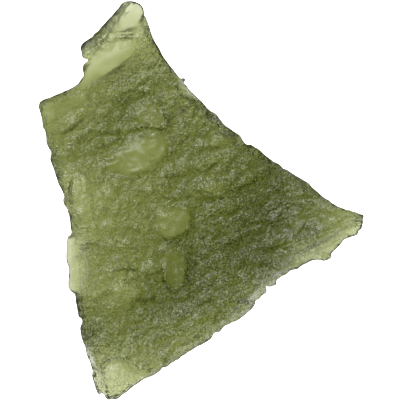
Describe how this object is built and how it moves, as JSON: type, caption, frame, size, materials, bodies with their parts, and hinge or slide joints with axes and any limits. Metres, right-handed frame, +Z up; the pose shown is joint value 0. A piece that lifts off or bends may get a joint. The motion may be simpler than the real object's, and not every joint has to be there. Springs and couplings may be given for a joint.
{
  "type": "moldavite",
  "caption": "Flat three-cornered piece of natural green tektite glass with an etched, flow-grooved surface and smooth bites at its edges; rests on its back.",
  "frame": {"origin": "centre of the footprint's box, at the height of the worn flat spots on the back that the stone rests on", "axes": "+Y from the lower point to the upper tip, the longest way; +X towards the right-hand point; +Z up through the thickness, the shortest way"},
  "size_m": [0.0324, 0.0398, 0.0068],
  "materials": {
    "moldavite_glass": "clear bottle-green natural glass, refractive index about 1.49, with a finely etched satin skin of pits and flow grooves and smoother, glossier bites"
  },
  "bodies": {
    "root": {"moldavite": "moldavite_glass"}
  },
  "joints": []
}
